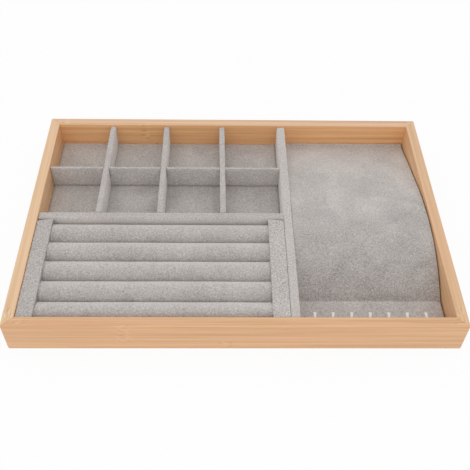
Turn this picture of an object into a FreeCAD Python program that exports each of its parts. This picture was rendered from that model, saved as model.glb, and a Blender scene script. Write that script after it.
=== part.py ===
"""Jewelry tray: a shallow mitred bamboo tray with lined cells, a ring pad and a necklace ramp.

Millimetres. +X is to the right, +Y to the back and +Z up.
The origin is the middle of the underside.
"""

import FreeCAD, Part
import math
import os

from FreeCAD import Vector

# Bamboo frame
TRAY_WIDTH = 350.0
TRAY_DEPTH = 240.0
TRAY_HEIGHT = 30.0
RAIL_THICKNESS = 9.0
CORNER_RADIUS = 1.8
OUTER_EDGE_RADIUS = 1.5
INNER_EDGE_RADIUS = 1.0
FOOT_EDGE_RADIUS = 0.6

# Plywood bottom, held in a groove round the rails
PANEL_THICKNESS = 3.0
PANEL_UNDERSIDE = 1.6
GROOVE_DEPTH = 3.5
GROOVE_END_GAP = 0.5

# Cloth and boards
CLOTH = 0.7
FLOOR_BOARD = 0.8
MAIN_PARTITION = 7.4
DIVIDER = 5.0
MIDDLE_DIVIDER = 2.4
WRAP_RADIUS = 1.6
MIDDLE_WRAP_RADIUS = 1.0
PARTITION_TOP = 28.3
DROP_IN_GAP = 0.3

# Layout of the bays
LONG_PARTITION_LEFT = 41.2
CROSS_PARTITION_BACK = -2.2
CELL_COLUMNS = 4
DIVIDERS_OFF_EVEN = (-0.1, -1.65, -1.3)
DIVIDER_TURNS = (-0.74, 0.0, 0.7)
MIDDLE_DIVIDER_Y = 53.1
HALVING_GAP = 0.1

# Ring pad
RING_BASE = 2.5
END_BAR_WIDTH = 12.7
END_BAR_TOP = 28.6
END_BAR_WRAP_RADIUS = 1.0
LEFT_BAR_SKEW = 2.6
RIGHT_BAR_SKEW = 1.6
ROLL_COUNT = 5
ROLL_CREST = 27.0
ROLL_RISE = 9.0
ROLL_SHOULDER_RADIUS = 7.5
ROLL_GAP = 0.2
ROLL_TURN_UNDER = 5.0

# Necklace ramp, seen from the side
NECKLACE_RIGHT_GAP = 1.1
NECKLACE_BASE = 1.3
RAMP_BOARD = 1.5
RAMP_CREST_Y = -12.0
RAMP_CREST_Z = 27.6
RAMP_FRONT_RADIUS = 131.0
RAMP_FOOT_RADIUS = 3.0
RAMP_BACK_RADIUS = 240.0
RAMP_BACK_SLOPE = math.radians(12.3)
RAMP_TOE_RADIUS = 60.0
RAMP_FOAM_END = 2.0
STRIP_JOINT_GAP = 0.2

# Necklace hooks, bent from flat strip
HOOK_FIRST_X = 60.7
HOOK_PITCH = 14.3
HOOK_TIP_Y = -100.3
HOOK_STRIP = 0.6
HOOK_WIDTH = 1.4
HOOK_TIP_WIDTH = 2.3
HOOK_FOOT = 6.0
HOOK_BEND = 1.0
HOOK_SHANK_TOP = 18.85
HOOK_REACH = 7.0
HOOK_ARM_RISE = math.radians(8.0)
HOOK_SLOT_GAP = 0.1
HOOK_TURNS = (-1.0, -10.0, -9.0, -7.5, -4.5, -4.0, 2.5)

# Levels and edges that follow from the sizes above
INNER_X = TRAY_WIDTH / 2 - RAIL_THICKNESS
INNER_Y = TRAY_DEPTH / 2 - RAIL_THICKNESS
PANEL_TOP = PANEL_UNDERSIDE + PANEL_THICKNESS
CELL_FLOOR = PANEL_TOP + FLOOR_BOARD + CLOTH
LONG_PARTITION_RIGHT = LONG_PARTITION_LEFT + MAIN_PARTITION
CROSS_PARTITION_FRONT = CROSS_PARTITION_BACK - MAIN_PARTITION
HALVING_LEVEL = (CELL_FLOOR + PARTITION_TOP) / 2
NECKLACE_FLOOR = PANEL_TOP + NECKLACE_BASE + RAMP_BOARD + CLOTH

# Two coordinates closer than this are the same
SAME_PLACE = 1e-6


def block(x, y, z):
    """Box between pairs of limits."""
    return Part.makeBox(x[1] - x[0], y[1] - y[0], z[1] - z[0], Vector(x[0], y[0], z[0]))


def edges_at_height(shape, z):
    """Edges that lie level at one height."""
    return [e for e in shape.Edges if all(abs(v.Z - z) < SAME_PLACE for v in e.Vertexes)]


def upright_edges(shape):
    """Edges that run straight up."""
    return [e for e in shape.Edges if e.BoundBox.XLength + e.BoundBox.YLength < SAME_PLACE]


def side_face(points):
    """Face in the YZ plane from a closed run of (y, z) points; a pair of points is an arc (via, end)."""
    edges = []
    start = Vector(0, *points[0])
    for entry in points[1:] + points[:1]:
        if isinstance(entry[0], tuple):
            via, end = (Vector(0, *p) for p in entry)
            edges.append(Part.Arc(start, via, end).toShape())
        else:
            end = Vector(0, *entry)
            edges.append(Part.LineSegment(start, end).toShape())
        start = end
    return Part.Face(Part.Wire(edges))


def save(name, shape):
    """Writes one sub-part."""
    shape.exportStep(os.path.join("parts", name + ".step"))
    print(f"{name}: {len(shape.Solids)} solid, valid {shape.isValid()}, {shape.Volume / 1000:.2f} cm3")


# Frame and bottom


def mitre_wedge(corner_signs):
    """Upright prism that holds one rail, with sides on the 45 degree mitre lines."""
    reach = 2 * RAIL_THICKNESS
    outside, inside = [], []
    for sx, sy in corner_signs:
        corner = Vector(sx * TRAY_WIDTH / 2, sy * TRAY_DEPTH / 2, 0)
        diagonal = Vector(sx, sy, 0)
        outside.append(corner + diagonal * reach)
        inside.append(corner - diagonal * reach)
    ring = [outside[0], outside[1], inside[1], inside[0], outside[0]]
    return Part.Face(Part.makePolygon(ring)).extrude(Vector(0, 0, TRAY_HEIGHT))


def make_frame():
    """Whole frame as one ring with eased edges, before it is cut at the mitres."""
    half_x, half_y = TRAY_WIDTH / 2, TRAY_DEPTH / 2
    ring = block((-half_x, half_x), (-half_y, half_y), (0, TRAY_HEIGHT))
    ring = ring.makeFillet(CORNER_RADIUS, upright_edges(ring))
    ring = ring.makeFillet(OUTER_EDGE_RADIUS, edges_at_height(ring, TRAY_HEIGHT))
    ring = ring.makeFillet(FOOT_EDGE_RADIUS, edges_at_height(ring, 0))
    ring = ring.cut(block((-INNER_X, INNER_X), (-INNER_Y, INNER_Y), (0, TRAY_HEIGHT)))
    rim = [
        e
        for e in edges_at_height(ring, TRAY_HEIGHT)
        if all(abs(v.X) < INNER_X + SAME_PLACE and abs(v.Y) < INNER_Y + SAME_PLACE for v in e.Vertexes)
    ]
    ring = ring.makeFillet(INNER_EDGE_RADIUS, rim)
    groove_x, groove_y = INNER_X + GROOVE_DEPTH, INNER_Y + GROOVE_DEPTH
    return ring.cut(block((-groove_x, groove_x), (-groove_y, groove_y), (PANEL_UNDERSIDE, PANEL_TOP)))


def make_frame_and_bottom():
    """Four rails, glued at the mitres, round the plywood panel."""
    frame = make_frame()
    corners = {
        "front_rail": ((-1, -1), (1, -1)),
        "back_rail": ((1, 1), (-1, 1)),
        "left_rail": ((-1, 1), (-1, -1)),
        "right_rail": ((1, -1), (1, 1)),
    }
    for name, signs in corners.items():
        save(name, frame.common(mitre_wedge(signs)))
    panel_x = INNER_X + GROOVE_DEPTH - GROOVE_END_GAP
    panel_y = INNER_Y + GROOVE_DEPTH - GROOVE_END_GAP
    save("bottom_panel", block((-panel_x, panel_x), (-panel_y, panel_y), (PANEL_UNDERSIDE, PANEL_TOP)))


# Cloth-wrapped boards


def skewed_block(x, y, z, skew):
    """Box cut askew at the back: a positive skew shortens its right side, a negative one its left."""
    right_back = y[1] - max(skew, 0.0)
    left_back = y[1] + min(skew, 0.0)
    corners = [(x[0], y[0]), (x[1], y[0]), (x[1], right_back), (x[0], left_back), (x[0], y[0])]
    footprint = Part.makePolygon([Vector(*corner, z[0]) for corner in corners])
    return Part.Face(footprint).extrude(Vector(0, 0, z[1] - z[0]))


def wrapped_board(x, y, z, radius=WRAP_RADIUS, skew=0.0):
    """Core and cover of a board with cloth over its top, sides and ends, open underneath."""
    outside = skewed_block(x, y, z, skew)
    outside = outside.makeFillet(radius, edges_at_height(outside, z[1]))
    core_x, core_y = (x[0] + CLOTH, x[1] - CLOTH), (y[0] + CLOTH, y[1] - CLOTH)
    core = skewed_block(core_x, core_y, (z[0], z[1] - CLOTH), skew)
    core = core.makeFillet(radius - CLOTH, edges_at_height(core, z[1] - CLOTH))
    return core, outside.cut(core)


def save_wrapped(name, core, cover, cutter=None):
    """Writes a wrapped board as its two pieces, after an optional cut through both."""
    for suffix, piece in (("core", core), ("cover", cover)):
        save(f"{name}_{suffix}", piece.cut(cutter) if cutter else piece)


def make_main_partitions():
    """Two thick boards that part the tray into three bays."""
    upright = (PANEL_TOP, PARTITION_TOP)
    long_x = (LONG_PARTITION_LEFT, LONG_PARTITION_RIGHT)
    save_wrapped("long_partition", *wrapped_board(long_x, (-INNER_Y, INNER_Y), upright))
    cross_y = (CROSS_PARTITION_FRONT, CROSS_PARTITION_BACK)
    save_wrapped("cross_partition", *wrapped_board((-INNER_X, LONG_PARTITION_LEFT), cross_y, upright))


def make_cell_floor():
    """Card with cloth on top, under the whole cell bay."""
    x, y = (-INNER_X, LONG_PARTITION_LEFT), (CROSS_PARTITION_BACK, INNER_Y)
    save("compartment_floor_board", block(x, y, (PANEL_TOP, PANEL_TOP + FLOOR_BOARD)))
    save("compartment_floor_lining", block(x, y, (PANEL_TOP + FLOOR_BOARD, CELL_FLOOR)))


def make_divider_grid():
    """Three dividers from front to back, two a little turned, halved over a thin one from side to side."""
    x = (-INNER_X + DROP_IN_GAP, LONG_PARTITION_LEFT - DROP_IN_GAP)
    y = (CROSS_PARTITION_BACK + DROP_IN_GAP, INNER_Y - DROP_IN_GAP)
    z = (CELL_FLOOR, PARTITION_TOP)
    half, middle_half = DIVIDER / 2, MIDDLE_DIVIDER / 2
    span = LONG_PARTITION_LEFT + INNER_X
    cell = (span - (CELL_COLUMNS - 1) * DIVIDER) / CELL_COLUMNS
    first_middle = -INNER_X + cell + half
    middles = [first_middle + n * (cell + DIVIDER) + off for n, off in enumerate(DIVIDERS_OFF_EVEN)]
    under_reach = middle_half + HALVING_GAP
    under_y = (MIDDLE_DIVIDER_Y - under_reach, MIDDLE_DIVIDER_Y + under_reach)
    under_slot = block(x, under_y, (z[0], HALVING_LEVEL))
    for number, (middle, turn) in enumerate(zip(middles, DIVIDER_TURNS), 1):
        pieces = wrapped_board((middle - half, middle + half), y, z)
        for piece in pieces:
            piece.rotate(Vector(middle, MIDDLE_DIVIDER_Y, 0), Vector(0, 0, 1), turn)
        save_wrapped(f"divider_{number}", *pieces, cutter=under_slot)
    reach = half + HALVING_GAP
    top_slots = [block((m - reach, m + reach), y, (HALVING_LEVEL, TRAY_HEIGHT)) for m in middles]
    middle_y = (MIDDLE_DIVIDER_Y - middle_half, MIDDLE_DIVIDER_Y + middle_half)
    pieces = wrapped_board(x, middle_y, z, MIDDLE_WRAP_RADIUS)
    save_wrapped("middle_divider", *pieces, cutter=Part.makeCompound(top_slots))


# Ring pad


def roll_face(middle_y, half_width, base_z, inset=0.0):
    """Section of a ring roll: upright sides under a three-centred arch, drawn in by an inset."""
    spring_z = ROLL_CREST - ROLL_RISE
    shoulder_y = half_width - ROLL_SHOULDER_RADIUS
    above = ROLL_RISE - ROLL_SHOULDER_RADIUS
    drop = (shoulder_y**2 - above**2) / (2 * above)
    top_radius = ROLL_RISE + drop - inset
    shoulder_radius = ROLL_SHOULDER_RADIUS - inset
    lean = math.atan2(drop, shoulder_y)
    side = half_width - inset

    def shoulder(sign, angle):
        reach = shoulder_y + shoulder_radius * math.cos(angle)
        return (middle_y + sign * reach, spring_z + shoulder_radius * math.sin(angle))

    crest = (middle_y, spring_z - drop + top_radius)
    return side_face(
        [
            (middle_y - side, base_z + inset),
            (middle_y + side, base_z + inset),
            (middle_y + side, spring_z),
            (shoulder(1, lean / 2), shoulder(1, lean)),
            (crest, shoulder(-1, lean)),
            (shoulder(-1, lean / 2), (middle_y - side, spring_z)),
        ]
    )


def make_ring_pad():
    """Base board that carries the rolls between two end bars; rings stand in the gaps."""
    x = (-INNER_X + DROP_IN_GAP, LONG_PARTITION_LEFT - DROP_IN_GAP)
    y = (-INNER_Y + DROP_IN_GAP, CROSS_PARTITION_FRONT - DROP_IN_GAP)
    base_top = PANEL_TOP + RING_BASE
    save("ring_base_board", block(x, y, (PANEL_TOP, base_top)))

    bar_z = (base_top, END_BAR_TOP)
    bars = {
        "left_end_bar": ((x[0], x[0] + END_BAR_WIDTH), -LEFT_BAR_SKEW),
        "right_end_bar": ((x[1] - END_BAR_WIDTH, x[1]), RIGHT_BAR_SKEW),
    }
    for name, (bar_x, skew) in bars.items():
        save_wrapped(name, *wrapped_board(bar_x, y, bar_z, END_BAR_WRAP_RADIUS, skew))

    pitch = (y[1] - y[0]) / ROLL_COUNT
    start = x[0] + END_BAR_WIDTH + ROLL_GAP
    along = Vector(x[1] - END_BAR_WIDTH - ROLL_GAP - start, 0, 0)
    for number in range(ROLL_COUNT):
        middle = y[1] - (number + 0.5) * pitch
        half = (pitch - ROLL_GAP) / 2
        outside = roll_face(middle, half, base_top).extrude(along)
        foam = roll_face(middle, half, base_top, CLOTH).extrude(along)
        seam_half = half - ROLL_TURN_UNDER
        seam = block((0, along.x), (middle - seam_half, middle + seam_half), (base_top, base_top + CLOTH))
        cover = outside.cut(foam).cut(seam)
        for suffix, piece in (("foam", foam), ("cover", cover)):
            piece.translate(Vector(start, 0, 0))
            save(f"ring_roll_{number + 1}_{suffix}", piece)


# Necklace ramp


def ramp_line(back_end, lowered=0.0):
    """Side line of the ramp from the back edge to the front foot, as entries for side_face."""
    floor = NECKLACE_FLOOR - lowered
    crest = (RAMP_CREST_Y, RAMP_CREST_Z - lowered)

    def on_arc(radius, angle):
        return (crest[0] + radius * math.sin(angle), crest[1] - radius * (1 - math.cos(angle)))

    foot_reach = RAMP_FRONT_RADIUS + RAMP_FOOT_RADIUS
    foot_angle = math.acos(1 - (crest[1] - floor) / foot_reach)
    foot_end = (crest[0] - foot_reach * math.sin(foot_angle), floor)
    foot_middle = (
        foot_end[0] + RAMP_FOOT_RADIUS * math.sin(foot_angle / 2),
        floor + RAMP_FOOT_RADIUS * (1 - math.cos(foot_angle / 2)),
    )
    slope_top = on_arc(RAMP_BACK_RADIUS, RAMP_BACK_SLOPE)
    toe_z = floor + RAMP_TOE_RADIUS * (1 - math.cos(RAMP_BACK_SLOPE))
    toe_y = slope_top[0] + (slope_top[1] - toe_z) / math.tan(RAMP_BACK_SLOPE)
    flat_y = toe_y + RAMP_TOE_RADIUS * math.sin(RAMP_BACK_SLOPE)
    half_slope = RAMP_BACK_SLOPE / 2
    toe_middle = (
        flat_y - RAMP_TOE_RADIUS * math.sin(half_slope),
        floor + RAMP_TOE_RADIUS * (1 - math.cos(half_slope)),
    )
    return [
        (back_end, floor),
        (flat_y, floor),
        (toe_middle, (toe_y, toe_z)),
        slope_top,
        (on_arc(RAMP_BACK_RADIUS, half_slope), crest),
        (on_arc(RAMP_FRONT_RADIUS, -foot_angle / 2), on_arc(RAMP_FRONT_RADIUS, -foot_angle)),
        (foot_middle, foot_end),
    ]


def foot_y():
    """Where the ramp meets the hook strip."""
    return ramp_line(INNER_Y)[-1][1][0]


def ramp_solid(x, back_end, lowered, base_z):
    """Everything under the ramp line, down to a level base."""
    line = ramp_line(back_end, lowered)
    face = side_face(line + [(foot_y(), base_z), (back_end, base_z)])
    solid = face.extrude(Vector(x[1] - x[0], 0, 0))
    solid.translate(Vector(x[0], 0, 0))
    return solid


def make_necklace_ramp(x, y):
    """Bent board over a foam block, with cloth over the board and down both sides."""
    base_top = PANEL_TOP + NECKLACE_BASE
    save("necklace_base_board", block(x, y, (PANEL_TOP, base_top)))
    inside = (x[0] + CLOTH, x[1] - CLOTH)
    under_cloth = ramp_solid(inside, y[1], CLOTH, base_top)
    under_board = ramp_solid(inside, y[1], CLOTH + RAMP_BOARD, PANEL_TOP)
    save("necklace_ramp_cover", ramp_solid(x, y[1], 0.0, base_top).cut(under_cloth))
    save("necklace_ramp_board", under_cloth.cut(under_board))
    lifted = under_board.common(block(x, y, (base_top + RAMP_FOAM_END, TRAY_HEIGHT))).BoundBox
    foam_space = block(x, (lifted.YMin, lifted.YMax), (base_top, TRAY_HEIGHT))
    save("necklace_ramp_foam", under_board.common(foam_space))


def hook_bend(middle, start_angle, end_angle):
    """Start, middle and end of a bend in the YZ plane."""
    angles = (start_angle, (start_angle + end_angle) / 2, end_angle)
    return [middle + Vector(0, math.cos(a), math.sin(a)) * HOOK_BEND for a in angles]


def hook_plan():
    """Upright prism of a hook's outline from above: narrow at the shank, widest at the tip."""
    narrow, wide = HOOK_WIDTH / 2, HOOK_TIP_WIDTH / 2
    half = [(narrow, -HOOK_STRIP), (narrow, HOOK_BEND), (wide, HOOK_REACH)]
    other_half = [(-x, y) for x, y in reversed(half)]
    ring = [Vector(x, y, 0) for x, y in half + other_half + half[:1]]
    return Part.Face(Part.makePolygon(ring)).extrude(Vector(0, 0, TRAY_HEIGHT))


def hook_solid():
    """Strip bent twice: a foot under the board, an upright shank, and an arm that flares to its tip."""
    foot_z = PANEL_TOP + NECKLACE_BASE + HOOK_STRIP / 2
    low = hook_bend(Vector(0, HOOK_BEND, foot_z + HOOK_BEND), -math.pi / 2, -math.pi)
    high = hook_bend(Vector(0, HOOK_BEND, HOOK_SHANK_TOP), math.pi, math.pi / 2 + HOOK_ARM_RISE)
    foot_end = Vector(0, HOOK_FOOT, foot_z)
    arm_end = high[2] + Vector(0, math.cos(HOOK_ARM_RISE), math.sin(HOOK_ARM_RISE)) * HOOK_REACH
    edges = [
        Part.LineSegment(foot_end, low[0]).toShape(),
        Part.Arc(*low).toShape(),
        Part.LineSegment(low[2], high[0]).toShape(),
        Part.Arc(*high).toShape(),
        Part.LineSegment(high[2], arm_end).toShape(),
    ]
    band = Part.Wire(edges).makeOffset2D(HOOK_STRIP / 2, fill=True, openResult=True)
    sheet = band.extrude(Vector(HOOK_TIP_WIDTH, 0, 0))
    sheet.translate(Vector(-HOOK_TIP_WIDTH / 2, 0, 0))
    return sheet.common(hook_plan())


def at_hook(shape, number):
    """Copy of a shape, turned a little about the hook's tip and moved to one hook's place."""
    placed = shape.copy()
    placed.translate(Vector(0, -HOOK_REACH, 0))
    placed.rotate(Vector(), Vector(0, 0, 1), HOOK_TURNS[number])
    placed.translate(Vector(HOOK_FIRST_X + number * HOOK_PITCH, HOOK_TIP_Y, 0))
    return placed


def make_hook_strip(x, y):
    """Board and cloth that the hooks stand in, with a pocket for each foot and a slot for each shank."""
    base_top = PANEL_TOP + NECKLACE_BASE
    strip_y = (y[0], foot_y() - STRIP_JOINT_GAP)
    board = block(x, strip_y, (base_top, base_top + RAMP_BOARD))
    cover = block(x, strip_y, (base_top + RAMP_BOARD, NECKLACE_FLOOR))
    slot_half = HOOK_WIDTH / 2 + HOOK_SLOT_GAP
    pocket_half = HOOK_TIP_WIDTH / 2 + HOOK_SLOT_GAP
    reach = HOOK_STRIP / 2 + HOOK_SLOT_GAP
    slot = block((-slot_half, slot_half), (-reach, reach + HOOK_BEND), (0, TRAY_HEIGHT))
    pocket = block((-pocket_half, pocket_half), (-reach, reach + HOOK_FOOT), (0, base_top + HOOK_STRIP))
    hook = hook_solid()
    for number in range(len(HOOK_TURNS)):
        board = board.cut(at_hook(slot, number)).cut(at_hook(pocket, number))
        cover = cover.cut(at_hook(slot, number))
        save(f"necklace_hook_{number + 1}", at_hook(hook, number))
    save("hook_strip_board", board)
    save("hook_strip_cover", cover)


def make_necklace_insert():
    """Ramp and hook strip on one base board."""
    x = (LONG_PARTITION_RIGHT + DROP_IN_GAP, INNER_X - NECKLACE_RIGHT_GAP)
    y = (-INNER_Y + DROP_IN_GAP, INNER_Y - DROP_IN_GAP)
    make_necklace_ramp(x, y)
    make_hook_strip(x, y)


os.makedirs("parts", exist_ok=True)
make_frame_and_bottom()
make_main_partitions()
make_cell_floor()
make_divider_grid()
make_ring_pad()
make_necklace_insert()
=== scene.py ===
# %% [markdown]
# This lesson dresses a jewelry tray: a bamboo frame, grey velvet over board and foam, and small white hooks.
# The packed model already has each piece in its place, in metres, so it is loaded first and never moved. The
# dressed tray may not grow out of it.

# %% Load the packed tray
import math

import bmesh
import bpy
from mathutils import Color, Matrix, Vector, noise


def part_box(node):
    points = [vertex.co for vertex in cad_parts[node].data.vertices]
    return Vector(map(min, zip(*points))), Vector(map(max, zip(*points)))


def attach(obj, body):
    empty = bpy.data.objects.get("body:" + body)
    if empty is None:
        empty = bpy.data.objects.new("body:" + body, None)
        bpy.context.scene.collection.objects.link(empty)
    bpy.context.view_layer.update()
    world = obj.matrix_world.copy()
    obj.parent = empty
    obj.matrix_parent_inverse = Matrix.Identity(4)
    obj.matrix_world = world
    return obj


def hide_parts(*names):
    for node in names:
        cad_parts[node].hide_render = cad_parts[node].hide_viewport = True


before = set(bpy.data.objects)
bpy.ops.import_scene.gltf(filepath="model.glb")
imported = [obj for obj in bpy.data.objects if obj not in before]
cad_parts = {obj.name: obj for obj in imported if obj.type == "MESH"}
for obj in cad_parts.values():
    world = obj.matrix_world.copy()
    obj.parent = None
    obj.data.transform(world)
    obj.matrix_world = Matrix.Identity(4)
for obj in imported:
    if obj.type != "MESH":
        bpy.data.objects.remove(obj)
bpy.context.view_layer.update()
scene = bpy.context.scene
MM = 0.001
SQUARE_MM = MM * MM


def box_in_mm(node):
    """Lowest and highest corner of a packed node, in millimetres."""
    return tuple(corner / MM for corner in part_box(node))


# %% [markdown]
# The camera stands in front of the tray and looks down at about 48 degrees.
# Its place and turn can be tried out by hand, or solved from edges whose real places are known.
# They were solved here from many points along the rails and partitions, because the photograph's lens
# bends long edges outwards a little and corners alone would put all of that error in the middle.

# %% Camera
PICTURE_SIDE = 470
FOCAL_PIXELS = 700.56
SENSOR_WIDTH = 36.0
CAMERA_PLACE = Vector((-11.9, -412.68, 462.76)) * MM
CAMERA_YAW = math.radians(-1.741)
CAMERA_PITCH_DOWN = math.radians(48.458)
CAMERA_ROLL = math.radians(1.513)


def make_camera():
    """Camera at the photograph's viewing angle."""
    lens = bpy.data.cameras.new("camera")
    lens.sensor_width = SENSOR_WIDTH
    lens.lens = FOCAL_PIXELS * SENSOR_WIDTH / PICTURE_SIDE
    camera = bpy.data.objects.new("camera", lens)
    turn = Matrix.Rotation(CAMERA_YAW, 4, "Z")
    turn = turn @ Matrix.Rotation(math.pi / 2 - CAMERA_PITCH_DOWN, 4, "X")
    turn = turn @ Matrix.Rotation(CAMERA_ROLL, 4, "Z")
    camera.matrix_world = Matrix.Translation(CAMERA_PLACE) @ turn
    scene.collection.objects.link(camera)
    scene.camera = camera
    print("lens, mm:", round(lens.lens, 2))


make_camera()

# %% [markdown]
# Every finish below is a small graph of shader nodes, and writing each node out in full hides the idea.
# A helper class adds a node, gives it values or joins it to others, and hands back what it puts out.
# Colours are written as a picture editor shows them, and changed to the linear values that light needs.

# %% Helpers for shader nodes
def colour(red, green, blue):
    """Linear colour from values of 0 to 255."""
    linear = Color((red / 255, green / 255, blue / 255)).from_srgb_to_scene_linear()
    return (*linear, 1.0)


class Sketch:
    """Adds nodes to one node tree and joins them."""

    def __init__(self, tree):
        self.tree = tree

    def node(self, kind, inputs=None, **settings):
        """One shader node; each input is a value or another node's output."""
        made = self.tree.nodes.new("ShaderNode" + kind)
        for name, value in settings.items():
            setattr(made, name, value)
        for socket, value in (inputs or {}).items():
            if isinstance(value, bpy.types.NodeSocket):
                self.tree.links.new(value, made.inputs[socket])
            else:
                made.inputs[socket].default_value = value
        return made

    def calc(self, operation, *values):
        """Result of a Math node."""
        return self.node("Math", dict(enumerate(values)), operation=operation).outputs[0]

    def ramp(self, value, start, end):
        """Smooth change from 0 at start to 1 at end."""
        inputs = {"Value": value, "From Min": start, "From Max": end}
        return self.node("MapRange", inputs, interpolation_type="SMOOTHSTEP").outputs[0]

    def swing(self, pattern, amount, base):
        """Base value that a pattern from 0 to 1 moves up and down, by an amount in all."""
        return self.calc("MULTIPLY_ADD", self.calc("SUBTRACT", pattern, 0.5), amount, base)

    def mix(self, amount, first, second, blend="MIX"):
        """Mix of two colours, which a Mix node takes by its sockets 6 and 7."""
        inputs = {0: amount, 6: first, 7: second}
        return self.node("Mix", inputs, data_type="RGBA", blend_type=blend).outputs[2]

    def join(self, x, y, z):
        """Vector from three values."""
        return self.node("CombineXYZ", {0: x, 1: y, 2: z}).outputs[0]

    def split(self, vector):
        """Three values of a vector."""
        return self.node("SeparateXYZ", {0: vector}).outputs

    def scaled(self, vector, factor):
        """Vector times a factor."""
        return self.node("VectorMath", {0: vector, "Scale": factor}, operation="SCALE").outputs[0]

    def noise(self, vector, size, detail=2.0, distortion=0.0):
        """Cloudy noise from 0 to 1, with clouds of about one size."""
        inputs = {"Vector": vector, "Scale": 1 / size, "Detail": detail, "Distortion": distortion}
        return self.node("TexNoise", inputs).outputs[0]

    def place(self):
        """Place on the object, in millimetres."""
        return self.scaled(self.node("TexCoord").outputs["Object"], 1 / MM)

    def facing(self):
        """Direction that the surface faces, on the object."""
        return self.node("TexCoord").outputs["Normal"]


print("node helpers:", [name for name in vars(Sketch) if not name.startswith("_")])

# %% [markdown]
# A pattern that several finishes share is made once, as a node group with named inputs and outputs.
# Each material has its own Principled shader and places a group in front of it, with its own values.
# The group's colour goes to the shader as it is, and its height goes by way of a Bump node.

# %% Helpers for groups and materials
def new_group(name, inputs, outputs):
    """Node group with named sockets: a sketch of it, what it is given and what it puts out."""
    group = bpy.data.node_groups.new(name, "ShaderNodeTree")
    for direction, sockets in (("INPUT", inputs), ("OUTPUT", outputs)):
        for socket, kind in sockets.items():
            group.interface.new_socket(socket, in_out=direction, socket_type="NodeSocket" + kind)
    given = group.nodes.new("NodeGroupInput").outputs
    result = group.nodes.new("NodeGroupOutput").inputs
    return Sketch(group), given, result


def new_material(name, constants):
    """Material with one Principled shader: the material, a sketch of its nodes and the shader."""
    material = bpy.data.materials.new(name)
    material.use_nodes = True
    material.node_tree.nodes.clear()
    sketch = Sketch(material.node_tree)
    shader = sketch.node("BsdfPrincipled", constants)
    sketch.node("OutputMaterial", {"Surface": shader.outputs[0]})
    return material, sketch, shader


def place_group(sketch, name, inputs):
    """What a node group puts out in one material."""
    return sketch.node("Group", inputs, node_tree=bpy.data.node_groups[name]).outputs


def join_finish(sketch, shader, finish, bump, depth):
    """Joins a finish to a shader: colour, roughness where it has one, and height as a bump."""
    links = sketch.tree.links
    links.new(finish["Colour"], shader.inputs["Base Color"])
    if "Roughness" in finish:
        links.new(finish["Roughness"], shader.inputs["Roughness"])
    inputs = {"Strength": bump, "Distance": depth, "Height": finish["Height"]}
    links.new(sketch.node("Bump", inputs).outputs[0], shader.inputs["Normal"])


print("groups and materials so far:", len(bpy.data.node_groups), len(bpy.data.materials))

# %% [markdown]
# The tray was photographed on seamless white, with light so even that hardly a shadow is left.
# A closed tent of light is imitated by a pale sky all round, a white floor and a large soft lamp in front.
# The camera, and reflections, see the sky as plain white, and it lights the tray a little dimmer.
# That light stays plain, so each finish can be given the colour that it has.

# %% Sky
WHITE = colour(255, 255, 255)
SKY_LIGHT = 0.88


def seen_rays(sketch):
    """1 for what the camera sees, straight or by way of metal or glass, and 0 for light on the object."""
    path = sketch.node("LightPath").outputs
    seen = sketch.calc("MAXIMUM", path["Is Camera Ray"], path["Is Glossy Ray"])
    return sketch.calc("MAXIMUM", seen, path["Is Transmission Ray"])


def make_sky():
    """White to look at, dimmer as a light."""
    world = bpy.data.worlds.new("studio")
    world.use_nodes = True
    world.node_tree.nodes.clear()
    sketch = Sketch(world.node_tree)
    light = sketch.node("Background", {"Color": WHITE, "Strength": SKY_LIGHT}).outputs[0]
    white = sketch.node("Background", {"Color": WHITE, "Strength": 1.0}).outputs[0]
    both = sketch.node("MixShader", {0: seen_rays(sketch), 1: light, 2: white}).outputs[0]
    sketch.node("OutputWorld", {"Surface": both})
    scene.world = world


scene.view_settings.view_transform = "Standard"
make_sky()
print("sky light:", SKY_LIGHT)

# %% [markdown]
# A floor that only glowed white would lose the tray's shadow, and a plain one would look grey.
# So the floor is mostly white to the camera, and a small share of it is paper that takes the shadow.

# %% Floor
FLOOR_SIDE = 8.0
FLOOR_COLOUR = colour(246, 246, 246)
FLOOR_WHITENING = 0.92


def make_floor():
    """Pale floor that shows nearly white and still takes the tray's shadow."""
    material = bpy.data.materials.new("studio_floor")
    material.use_nodes = True
    material.node_tree.nodes.clear()
    sketch = Sketch(material.node_tree)
    paper = sketch.node("BsdfDiffuse", {"Color": FLOOR_COLOUR}).outputs[0]
    white = sketch.node("Emission", {"Color": WHITE, "Strength": 1.0}).outputs[0]
    share = sketch.calc("MULTIPLY", seen_rays(sketch), FLOOR_WHITENING)
    both = sketch.node("MixShader", {0: share, 1: paper, 2: white}).outputs[0]
    sketch.node("OutputMaterial", {"Surface": both})
    mesh = bpy.data.meshes.new("studio_floor")
    reach = FLOOR_SIDE / 2
    corners = [(-reach, -reach, 0), (reach, -reach, 0), (reach, reach, 0), (-reach, reach, 0)]
    mesh.from_pydata(corners, [], [(0, 1, 2, 3)])
    mesh.materials.append(material)
    floor = bpy.data.objects.new("studio_floor", mesh)
    scene.collection.objects.link(floor)
    print("floor, m:", FLOOR_SIDE)


make_floor()

# %% [markdown]
# One large lamp in front makes the faces that turn to the camera a little brighter than the others.
# Its size keeps the shadows soft, and the sky still gives most of the light.

# %% Lamp
LAMP_SIDE = 1.6
LAMP_PLACE = Vector((-0.15, -1.1, 1.2))
LAMP_POWER = 3.2


def make_lamp():
    """Large soft lamp, high in front of the tray."""
    lamp_data = bpy.data.lights.new("soft_lamp", "AREA")
    lamp_data.size = LAMP_SIDE
    lamp_data.energy = LAMP_POWER
    lamp = bpy.data.objects.new("soft_lamp", lamp_data)
    turn = LAMP_PLACE.to_track_quat("Z", "Y").to_matrix().to_4x4()
    lamp.matrix_world = Matrix.Translation(LAMP_PLACE) @ turn
    scene.collection.objects.link(lamp)
    print("lamp, m:", LAMP_SIDE)


make_lamp()

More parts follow.
